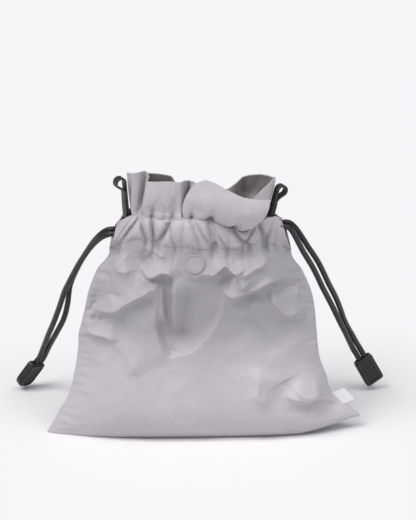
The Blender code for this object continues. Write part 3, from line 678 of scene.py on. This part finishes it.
def relief(side, x, y, z, rest, low, grid_u):
    """Folds, gathers and faint creases of a panel."""
    broad = 0.0032 * crumple(x, 0 * y, z, 0.075, 3.1 + side)
    small = 0.0009 * crumple(x, 0 * y, z, 0.028, 7.7 + side)
    change = folds(side, x, z) - flutes(side, x, z, low[None, :]) + broad + small
    if side == FRONT:
        change -= hollow(x, z)
    near = (1 - np.abs(grid_u)) / 0.05
    pucker = 0.0010 * near * np.exp(1 - near) * cloud(x * 0.3, y * 0, z, 0.0065, 11.0 + side)
    return smooth((1 - np.abs(grid_u)) / 0.10) * smooth(rest / 0.02) * change + pucker


def settle(points, name):
    """Lets a panel hang and buckle between its edges as cloth a little larger than its place.

    The simulation runs on a coarser grid, and its movement is carried over to the fine one.
    """
    rows, columns = points.shape[:2]
    row_at = np.unique(np.linspace(0, rows - 1, SIM_ROWS).round().astype(int))
    column_at = np.unique(np.linspace(0, columns - 1, SIM_COLUMNS).round().astype(int))
    coarse = points[np.ix_(row_at, column_at)]
    sheet = grid_object(name + "_sim", coarse, coarse[:, :, :2] * 0)
    held = np.zeros(coarse.shape[:2])
    held[np.hypot(coarse[..., 0] - SNAP[0], coarse[..., 2] - SNAP[1]) < 0.7 * SNAP_SEAT] = 1
    held[:3, :] = held[-1:, :] = 1
    held[:, :1] = held[:, -1:] = 1
    pins = sheet.vertex_groups.new(name="held")
    for index in np.flatnonzero(held.ravel()):
        pins.add([int(index)], 1.0, "REPLACE")
    cloth = sheet.modifiers.new("cloth", "CLOTH")
    cloth.settings.vertex_group_mass = "held"
    cloth.settings.quality = 6
    cloth.settings.mass = 0.10
    cloth.settings.tension_stiffness = 12
    cloth.settings.compression_stiffness = 12
    cloth.settings.shear_stiffness = 4
    cloth.settings.bending_stiffness = 0.15
    cloth.settings.air_damping = 3
    cloth.settings.shrink_min = -0.025
    cloth.settings.shrink_max = -0.025
    cloth.settings.effector_weights.gravity = 0.6
    cloth.collision_settings.use_collision = False
    cloth.point_cache.frame_end = SIM_FRAMES
    scene = bpy.context.scene
    for step in range(1, SIM_FRAMES + 1):
        scene.frame_set(step)
    apply_modifiers(sheet)
    scene.frame_set(1)
    settled = np.zeros(coarse.size, np.float32)
    sheet.data.vertices.foreach_get("co", settled)
    bpy.data.objects.remove(sheet)
    moved = settled.reshape(coarse.shape) - coarse
    size = np.linalg.norm(moved, axis=2, keepdims=True)
    moved *= np.minimum(1, SIM_CAP / np.maximum(size, 1e-9))
    across = np.empty((len(row_at), columns, 3))
    for r in range(len(row_at)):
        for k in range(3):
            across[r, :, k] = np.interp(np.arange(columns), column_at, moved[r, :, k])
    carried = np.empty(points.shape)
    for k in range(3):
        for c in range(columns):
            carried[:, c, k] = np.interp(np.arange(rows), row_at, across[:, c, k])
    return points + carried


def tuck(points, side, inward, down):
    """Adds a row past the last one, turned into the bag, so that no gap shows at a stitched line."""
    last = points[-1].copy()
    last[:, 1] -= side * inward
    last[:, 2] += down
    return np.concatenate([points, last[None]], axis=0)


def tuck_first(points, side, inward, down):
    first = points[0].copy()
    first[:, 1] -= side * inward
    first[:, 2] += down
    return np.concatenate([first[None], points], axis=0)


def add_panel(name, side, nodes):
    rows, columns = (300, 330)
    points = settle(panel_points(side, rows, columns), name)
    tucked = tuck(points, side, 0.0025, 0.0015)
    made = cloth_object(name, side, tucked, [CLOTH], CLOTH_T)
    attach(made, "bag")
    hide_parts(*nodes)
    return points


def cord_outside(x):
    """Half-depth that the cords inside the casing need."""
    share = np.clip(1 - np.abs(x - NECK_X) / 0.055, 0, 1)
    return CORD_OFFSET + 0.0155 * np.sin(math.pi / 2 * share) + CORD_R + 0.0014


def casing_points(side, rows, columns):
    u = np.linspace(-1, 1, columns)
    low_x, low_y, low_z = low_edge(side, u)
    high_x, high_y, high_z = high_edge(side, u)
    out = []
    ends = smooth((1 - np.abs(u)) / 0.16)
    for t in np.linspace(0, 1, rows):
        x = low_x + (high_x - low_x) * t
        z = low_z + (high_z - low_z) * t
        puff = math.sin(math.pi * t) ** 0.7
        rise = (t - 0.5) * 0.030
        body = neck_depth(u) + 0.0036 * puff
        pinch = gathers(side, x, rise)
        wall = np.maximum(body - (0.75 + 0.35 * puff) * pinch, cord_outside(x))
        mouth = EDGE_HALF + 0.001 + 0.0108 * puff
        y = mouth * (1 - ends) + ends * wall
        edge = np.abs(2 * t - 1) ** 6
        y = y * (1 - edge) + edge * (low_y if t < 0.5 else high_y)
        out.append(np.stack([x, side * y, z], axis=1))
    points = np.array(out)
    ripple = cloud(points[..., 0], points[..., 1], points[..., 2], 0.009, 2.0 + side) * 0.0005
    middle = np.sin(math.pi * np.linspace(0, 1, rows))[:, None]
    points[..., 1] += side * ripple * middle
    return points


def add_casing(name, side, node):
    points = casing_points(side, 34, 420)
    word = "front" if side == FRONT else "rear"
    low = add_stitches(word + "_low_stitches", points, 2, side)
    high = add_stitches(word + "_high_stitches", points, 31, side)
    points = tuck_first(tuck(points, side, 0.002, -0.001), side, 0.002, 0.001)
    made = cloth_object(name, side, points, [CLOTH], CLOTH_T)
    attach(made, "bag")
    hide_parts(node)
    return made


def add_stitches(name, grid, row, side):
    """A row of lockstitches on the casing, along one row of its grid."""
    line = grid[row]
    along = np.gradient(line, axis=0)
    normal = np.cross(along, grid[row + 1] - grid[row - 1])
    normal /= np.linalg.norm(normal, axis=1, keepdims=True)
    normal *= np.sign(normal[:, 1:2] * side)
    travelled = np.concatenate([[0], np.cumsum(np.linalg.norm(np.diff(line, axis=0), axis=1))])
    sides = 6
    vertices, faces = [], []
    for start in np.arange(0.002, travelled[-1] - 0.004, STITCH_LONG + STITCH_GAP):
        at = start + np.linspace(0, STITCH_LONG, 5)
        middle = np.stack([np.interp(at, travelled, line[:, k]) for k in range(3)], axis=1)
        out = np.stack([np.interp(at, travelled, normal[:, k]) for k in range(3)], axis=1)
        arch = np.array([-0.6, 0.4, 0.7, 0.4, -0.6])[:, None]
        middle = middle + out * arch * THREAD_R
        way = np.gradient(middle, axis=0)
        way /= np.linalg.norm(way, axis=1, keepdims=True)
        across = np.cross(way, out)
        first = len(vertices)
        for p, o, c, size in zip(middle, out, across, (0.5, 0.9, 1.0, 0.9, 0.5)):
            for k in range(sides):
                angle = 2 * math.pi * k / sides
                vertices.append(p + size * THREAD_R * (o * math.cos(angle) + c * math.sin(angle)))
        for ring in range(4):
            for k in range(sides):
                a, b = first + ring * sides + k, first + ring * sides + (k + 1) % sides
                faces.append((a, b, b + sides, a + sides))
        faces.append(tuple(first + k for k in reversed(range(sides))))
        faces.append(tuple(first + 4 * sides + k for k in range(sides)))
    shape = bmesh.new()
    corners = [shape.verts.new(v) for v in vertices]
    for face in faces:
        shape.faces.new([corners[k] for k in face])
    bmesh.ops.recalc_face_normals(shape, faces=shape.faces)
    made = bmesh_object(name, shape)
    made.data.materials.append(CLOTH_THREAD)
    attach(made, "bag")
    return made


# Header frill: for stations round the mouth, x at the stitched foot, then a point halfway up and a
# point on the free edge.  The front runs from the left seam to the right one, the rear runs back
LEFT_CORNER = (-0.0795, (-0.0818, 0.0010, 0.2840), (-0.0840, 0.0050, 0.3085))
RIGHT_CORNER = (0.0705, (0.0755, 0.0010, 0.2810), (0.0795, 0.0005, 0.3050))
HEADER_FRONT = [
    LEFT_CORNER,
    (-0.077, (-0.078, -0.007, 0.286), (-0.078, -0.002, 0.311)),
    (-0.073, (-0.071, -0.006, 0.286), (-0.069, 0.001, 0.311)),
    (-0.070, (-0.066, 0.003, 0.284), (-0.063, 0.008, 0.309)),
    (-0.069, (-0.065, -0.006, 0.285), (-0.060, -0.005, 0.308)),
    (-0.068, (-0.066, -0.019, 0.284), (-0.062, -0.015, 0.307)),
    (-0.062, (-0.059, -0.024, 0.284), (-0.054, -0.019, 0.308)),
    (-0.044, (-0.042, -0.025, 0.285), (-0.039, -0.018, 0.308)),
    (-0.028, (-0.027, -0.022, 0.284), (-0.026, -0.015, 0.306)),
    (-0.024, (-0.023, -0.019, 0.283), (-0.023, -0.012, 0.305)),
    (-0.023, (-0.021, -0.006, 0.281), (-0.019, -0.001, 0.302)),
    (-0.0225, (-0.018, 0.003, 0.280), (-0.015, 0.005, 0.299)),
    (-0.022, (-0.019, -0.005, 0.281), (-0.009, -0.001, 0.300)),
    (-0.020, (-0.022, -0.023, 0.283), (-0.010, -0.015, 0.304)),
    (-0.015, (-0.013, -0.028, 0.284), (-0.004, -0.019, 0.308)),
    (-0.005, (-0.001, -0.031, 0.286), (0.003, -0.023, 0.312)),
    (0.005, (0.010, -0.034, 0.285), (0.015, -0.029, 0.310)),
    (0.014, (0.022, -0.039, 0.283), (0.029, -0.035, 0.304)),
    (0.024, (0.035, -0.043, 0.278), (0.045, -0.040, 0.298)),
    (0.036, (0.052, -0.044, 0.274), (0.061, -0.041, 0.296)),
    (0.048, (0.067, -0.041, 0.274), (0.074, -0.038, 0.295)),
    (0.050, (0.066, -0.035, 0.275), (0.070, -0.033, 0.293)),
    (0.053, (0.057, -0.025, 0.274), (0.056, -0.023, 0.289)),
    (0.057, (0.063, -0.017, 0.277), (0.064, -0.013, 0.295)),
    (0.064, (0.070, -0.009, 0.280), (0.073, -0.006, 0.300)),
    RIGHT_CORNER]
HEADER_REAR = [
    RIGHT_CORNER,
    (0.069, (0.076, 0.010, 0.281), (0.080, 0.006, 0.302)),
    (0.062, (0.068, 0.020, 0.280), (0.072, 0.013, 0.302)),
    (0.052, (0.056, 0.025, 0.279), (0.063, 0.019, 0.301)),
    (0.042, (0.045, 0.026, 0.278), (0.051, 0.022, 0.299)),
    (0.036, (0.040, 0.024, 0.277), (0.043, 0.021, 0.297)),
    (0.032, (0.035, 0.015, 0.275), (0.036, 0.013, 0.293)),
    (0.027, (0.028, 0.009, 0.272), (0.027, 0.008, 0.288)),
    (0.018, (0.017, 0.017, 0.272), (0.015, 0.015, 0.286)),
    (0.006, (0.004, 0.022, 0.272), (0.002, 0.019, 0.285)),
    (-0.006, (-0.008, 0.019, 0.273), (-0.010, 0.016, 0.286)),
    (-0.016, (-0.019, 0.014, 0.274), (-0.022, 0.009, 0.288)),
    (-0.024, (-0.027, 0.013, 0.276), (-0.029, 0.011, 0.293)),
    (-0.030, (-0.033, 0.017, 0.279), (-0.035, 0.014, 0.301)),
    (-0.040, (-0.045, 0.018, 0.281), (-0.047, 0.014, 0.304)),
    (-0.054, (-0.057, 0.017, 0.282), (-0.059, 0.013, 0.305)),
    (-0.066, (-0.069, 0.015, 0.283), (-0.070, 0.011, 0.304)),
    (-0.074, (-0.077, 0.010, 0.284), (-0.079, 0.009, 0.306)),
    LEFT_CORNER]


# Folds across the frill, written like the folds of the panel
HEADER_FOLDS = [
    ([(-0.0060, 0.3060), (-0.0010, 0.2900), (0.0040, 0.2755), (0.0110, 0.2600)], 0.0034, 0.0110, 0.0024),
    ([(-0.0180, 0.2900), (-0.0120, 0.2820), (-0.0050, 0.2790), (0.0020, 0.2720)], -0.0030, 0.0060, 0.0090),
    ([(0.0150, 0.2990), (0.0270, 0.2860), (0.0420, 0.2720), (0.0480, 0.2600)], 0.0018, 0.0160, 0.0080),
    ([(0.0330, 0.2960), (0.0460, 0.2880), (0.0640, 0.2850)], -0.0016, 0.0100, 0.0070),
    ([(-0.0640, 0.2830), (-0.0590, 0.2755), (-0.0420, 0.2730), (-0.0290, 0.2670)], -0.0032, 0.0080, 0.0030),
    ([(-0.0350, 0.2930), (-0.0320, 0.2845), (-0.0285, 0.2765), (-0.0300, 0.2670)],
     -0.0034, 0.0024, 0.0080),
    ([(-0.0520, 0.3060), (-0.0490, 0.2920), (-0.0440, 0.2800)], 0.0014, 0.0080, 0.0080),
    ([(-0.0420, 0.2780), (-0.0370, 0.2840), (-0.0310, 0.2860)], 0.0024, 0.0070, 0.0030),
]


def header_folds(x, z):
    total = np.zeros(x.shape)
    for path, height, left_reach, right_reach in HEADER_FOLDS:
        away, share = to_path(x, z, path)
        reach = np.where(away > 0, left_reach, right_reach)
        rounded = np.sqrt(away ** 2 + CREST ** 2) - CREST
        total += 0.7 * height * np.exp(-rounded / reach) * along(share, 0.35, 0.25)
    return total


def creased(points, count):
    """Points along a line whose bends at the given points are half sharp."""
    line = np.array(points, float)
    at = np.linspace(0, len(line) - 1, count)
    straight = np.stack([np.interp(at, np.arange(len(line)), line[:, k]) for k in range(line.shape[1])],
                        axis=1)
    return 0.5 * straight + 0.5 * through(points, count)


def header_points(side, rows, columns):
    """Rows of the frill from its stitched foot to its free edge."""
    stations = HEADER_FRONT if side == FRONT else HEADER_REAR
    foot_x = creased([(s[0], 0.0) for s in stations], columns)[:, 0]
    middle = creased([s[1] for s in stations], columns)
    top = creased([s[2] for s in stations], columns)
    table = seam_high(side)
    first, last = table[0][0], table[-1][0]
    u = (foot_x - first) / (last - first) * 2 - 1
    _, foot_y, foot_z = high_edge(side, u)
    closing = smooth((1 - np.abs(np.linspace(-1, 1, columns))) / 0.05)
    foot_y = foot_y * closing + EDGE_HALF * (1 - closing)
    foot = np.stack([foot_x, side * foot_y, foot_z], axis=1)
    out = []
    for t in np.linspace(0, 1, rows):
        p = foot * (2 * t - 1) * (t - 1) + middle * 4 * t * (1 - t) + top * t * (2 * t - 1)
        pinch = gathers(side, foot_x, 0.016 + 0.012 * t)
        p[:, 1] -= side * closing * 0.4 * pinch * ((1 - t) ** 4 - (1 - t) ** 16)
        out.append(p)
    points = np.array(out)
    ripple = crumple(points[..., 0], points[..., 1], points[..., 2], 0.030, 5.0 + side) * 0.0016
    grow = smooth(np.linspace(0, 1, rows) / 0.2)[:, None] * closing[None, :]
    if side == FRONT:
        ripple -= header_folds(points[..., 0], points[..., 2])
    points[..., 1] += ripple * grow
    return points


def add_header(name, side, node):
    points = header_points(side, 60, 420)
    points = tuck_first(points, side, 0.002, -0.001)
    made = cloth_object(name, side, points, [CLOTH, SHADED_LINING], HEADER_T)
    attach(made, "bag")
    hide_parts(node)
    return made


def add_lining(name, side, panel, nodes):
    """Inner bag, seen only through the mouth; its darker colour is painted shade."""
    points = inside_of(panel[::3, ::3], side)
    columns = points.shape[1]
    neck = casing_points(side, 10, columns)
    neck[..., 1] -= side * 0.0115 * smooth((1 - np.abs(np.linspace(-1, 1, columns))) / 0.5)[None, :]
    neck[..., 1] = side * np.maximum(side * neck[..., 1], 0.0006)
    points = np.concatenate([points[:-4], neck], axis=0)
    made = cloth_object(name, side, points, [SHADED_LINING], LINING_T)
    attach(made, "bag")
    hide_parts(*nodes)
    return made


# Cords -----------------------------------------------------------------------------------------------

LEFT_ROUTE = [((-0.0983, 0.0000, 0.2400), (0.0000, -0.0065, 0.0000)),
              ((-0.1040, 0.0004, 0.2392), (0.0000, -0.0065, 0.0000)),
              ((-0.1108, 0.0030, 0.2348), (-0.0005, -0.0060, -0.0002)),
              ((-0.1172, 0.0070, 0.2275), (-0.0010, -0.0054, -0.0004)),
              ((-0.1240, 0.0120, 0.2172), (-0.0013, -0.0048, -0.0006)),
              ((-0.1304, 0.0180, 0.2047), (-0.0015, -0.0042, -0.0008)),
              ((-0.1370, 0.0250, 0.1905), (-0.0015, -0.0039, -0.0008)),
              ((-0.1430, 0.0320, 0.1755), (-0.0016, -0.0037, -0.0008)),
              ((-0.1478, 0.0385, 0.1620), (-0.0020, -0.0034, -0.0009)),
              ((-0.1516, 0.0445, 0.1492), (-0.0028, -0.0028, -0.0010)),
              ((-0.1558, 0.0540, 0.1262), (-0.0045, -0.0016, -0.0010)),
              ((-0.1613, 0.0630, 0.1040), (-0.0055, -0.0011, -0.0014)),
              ((-0.1690, 0.0740, 0.0818), (-0.0049, -0.0011, -0.0015)),
              ((-0.1757, 0.0870, 0.0615), (-0.0031, -0.0018, 0.0002)),
              ((-0.1818, 0.0969, 0.0427), (-0.0023, -0.0023, 0.0010)),
              ((-0.1860, 0.0983, 0.0360), (-0.0023, -0.0023, 0.0010))]
RIGHT_ROUTE = [((0.0903, 0.0000, 0.2485), (0.0000, -0.0065, 0.0000)),
               ((0.0958, 0.0005, 0.2468), (-0.0003, -0.0064, -0.0002)),
               ((0.1017, 0.0032, 0.2385), (-0.0012, -0.0058, -0.0007)),
               ((0.1075, 0.0072, 0.2265), (-0.0020, -0.0050, -0.0011)),
               ((0.1138, 0.0120, 0.2128), (-0.0026, -0.0040, -0.0014)),
               ((0.1196, 0.0170, 0.2010), (-0.0030, -0.0032, -0.0016)),
               ((0.1249, 0.0225, 0.1893), (-0.0032, -0.0026, -0.0017)),
               ((0.1306, 0.0295, 0.1742), (-0.0033, -0.0021, -0.0017)),
               ((0.1359, 0.0370, 0.1588), (-0.0033, -0.0020, -0.0017)),
               ((0.1410, 0.0440, 0.1454), (-0.0033, -0.0020, -0.0017)),
               ((0.1459, 0.0510, 0.1320), (-0.0032, -0.0021, -0.0016)),
               ((0.1510, 0.0595, 0.1161), (-0.0026, -0.0028, -0.0014)),
               ((0.1558, 0.0680, 0.1002), (-0.0018, -0.0036, -0.0011)),
               ((0.1604, 0.0757, 0.0870), (-0.0016, -0.0038, -0.0010)),
               ((0.1652, 0.0835, 0.0740), (-0.0021, -0.0029, -0.0013)),
               ((0.1708, 0.0930, 0.0582), (-0.0028, -0.0012, -0.0016)),
               ((0.1751, 0.0958, 0.0494), (-0.0028, -0.0011, -0.0016)),
               ((0.1785, 0.0972, 0.0423), (-0.0028, -0.0011, -0.0016))]


def tube(name, centre, radius, sides=20, seam=0.0):
    """Round cord as a closed mesh with a slight ridge along its sewn edge and a round start."""
    pts = [Vector(p) for p in centre]
    back = (pts[0] - pts[1]).normalized() * radius
    steps = [math.radians(a) for a in (82, 64, 44, 22)]
    sizes = [math.cos(a) for a in steps] + [1.0] * len(pts)
    pts = [pts[0] + back * math.sin(a) for a in steps] + pts
    ways = [(pts[min(i + 1, len(pts) - 1)] - pts[max(i - 1, 0)]).normalized() for i in range(len(pts))]
    normal = (Vector((0, 0, 1)) - ways[0] * ways[0].z).normalized()
    shape = bmesh.new()
    rings = []
    for p, way, size in zip(pts, ways, sizes):
        normal = (normal - way * normal.dot(way)).normalized()
        side = way.cross(normal)
        ring = []
        for k in range(sides):
            a = 2 * math.pi * k / sides
            r = size * radius * (1 + size * seam * math.cos(a) ** 8)
            ring.append(shape.verts.new(p + normal * (r * math.cos(a)) + side * (r * math.sin(a))))
        rings.append(ring)
    for a, b in zip(rings, rings[1:]):
        for k in range(sides):
            shape.faces.new((a[k], a[(k + 1) % sides], b[(k + 1) % sides], b[k]))
    shape.faces.new(list(reversed(rings[0])))
    shape.faces.new(rings[-1])
    bmesh.ops.recalc_face_normals(shape, faces=shape.faces)
    return bmesh_object(name, shape)


def strand_centre(route, side):
    points = [Vector(m) - side * Vector(s) for m, s in route]
    return through(points, 90)


def add_strand(name, route, side, body, node):
    centre = strand_centre(route, side)
    made = tube(name, centre, CORD_R, seam=0.07)
    made.data.materials.append(CORD_LEATHER)
    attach(made, body)
    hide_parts(node)
    return made, centre


def dress(node, material):
    """Gives a CAD node that stays its own finished material."""
    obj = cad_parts[node]
    obj.data.materials.clear()
    obj.data.materials.append(material)
    obj.data.shade_smooth()


def add_loop(name, foot, height, lean, turn):
    """Folded leather strip standing by the frill, with an eye at its top and both legs ending at its foot.
    """
    outward = math.copysign(1.0, foot[0])
    half = LOOP_T / 2
    reach = LOOP_EYE + half
    top = height - LOOP_EYE - LOOP_T
    arc = np.radians(np.linspace(180, -38, 33))
    path = [(-half, 0.0), (-half, top * 0.35), (-half, top * 0.7)]
    path += [(LOOP_EYE + reach * math.cos(a), top + reach * math.sin(a)) for a in arc]
    path += [(LOOP_SLIT + half, top - 0.011), (LOOP_SLIT + half, top * 0.4), (LOOP_SLIT + half, 0.0)]
    path = through(path, 150)
    way = np.gradient(path, axis=0)
    way /= np.linalg.norm(way, axis=1, keepdims=True)
    normal = np.stack([-way[:, 1], way[:, 0]], axis=1)
    wide = LOOP_W / 2
    edge = 0.0006
    profile = [(half, edge - wide), (half, wide - edge)]
    round_edge = np.radians([30, 60, 90, 120, 150])
    profile += [(half * math.cos(a), wide - edge + edge * math.sin(a)) for a in round_edge]
    profile += [(-half, wide - edge), (-half, edge - wide)]
    profile += [(-half * math.cos(a), edge - wide - edge * math.sin(a)) for a in round_edge]
    rings = []
    for point, side_way in zip(path, normal):
        rings.append([(point[0] + side_way[0] * out, across, point[1] + side_way[1] * out)
                      for out, across in profile])
    points = np.array(rings)
    place = Matrix.Translation(foot) @ Matrix.Diagonal((outward, 1.0, 1.0, 1.0)) @ \
        Matrix.Rotation(-turn, 4, "Z") @ Matrix.Rotation(lean, 4, "Y")
    spin = np.array(place.to_3x3())
    points = points @ spin.T + np.array(place.translation)
    made = grid_object(name + "_loop_leather", points, grid_uv(points), closed=True)
    close_ends(made, points.shape[0], points.shape[1])
    made.data.materials.append(LOOP_LEATHER)
    made.data.set_sharp_from_angle(angle=math.radians(50))
    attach(made, name + "_side_loop")
    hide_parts(name + "_loop")
    return made


def close_ends(obj, rows, columns):
    """Caps both ends of a tube made by grid_object and turns its faces outwards."""
    mesh = bmesh.new()
    mesh.from_mesh(obj.data)
    mesh.verts.ensure_lookup_table()
    mesh.faces.new([mesh.verts[k] for k in range(columns)])
    mesh.faces.new([mesh.verts[(rows - 1) * columns + k] for k in reversed(range(columns))])
    bmesh.ops.recalc_face_normals(mesh, faces=mesh.faces)
    mesh.to_mesh(obj.data)
    mesh.free()


def add_cords():
    for name, route in (("left", LEFT_ROUTE), ("right", RIGHT_ROUTE)):
        for side, word in ((FRONT, "front"), (REAR, "rear")):
            node = name + "_" + word + "_strand"
            piece, centre = add_strand(node + "_leather", route, side, name + "_cord", node)
        for node in (name + "_front_tail", name + "_rear_tail", name + "_cord_run"):
            dress(node, CORD_LEATHER)
        dress(name + "_tab", TAB_LEATHER)
        dress(name + "_tab_stitch", DARK_THREAD)


add_camera()
add_cords()
add_loop("left", (-0.0842, -0.0030, 0.2585), 0.0505, math.radians(5), math.radians(30))
add_loop("right", (0.0745, -0.0018, 0.2605), 0.0365, math.radians(17), math.radians(-30))
add_stage()
front_panel = add_panel("front_panel_cloth", FRONT, ["front_panel", "left_seam_tape", "right_seam_tape",
                                                    "bottom_seam_tape"])
rear_panel = add_panel("rear_panel_cloth", REAR, ["rear_panel"])
add_casing("front_casing_cloth", FRONT, "front_casing")
add_casing("rear_casing_cloth", REAR, "rear_casing")
add_header("front_header_cloth", FRONT, "front_header")
add_header("rear_header_cloth", REAR, "rear_header")
add_lining("front_lining_cloth", FRONT, front_panel, ["front_lining", "front_facing"])
add_lining("rear_lining_cloth", REAR, rear_panel, ["rear_lining", "rear_facing"])
for word in ("front", "rear"):
    dress(word + "_magnet_patch", CLOTH)
    dress(word + "_patch_stitch", PATCH_THREAD)
    dress(word + "_magnet", DARK_THREAD)
dress("side_label", LABEL)
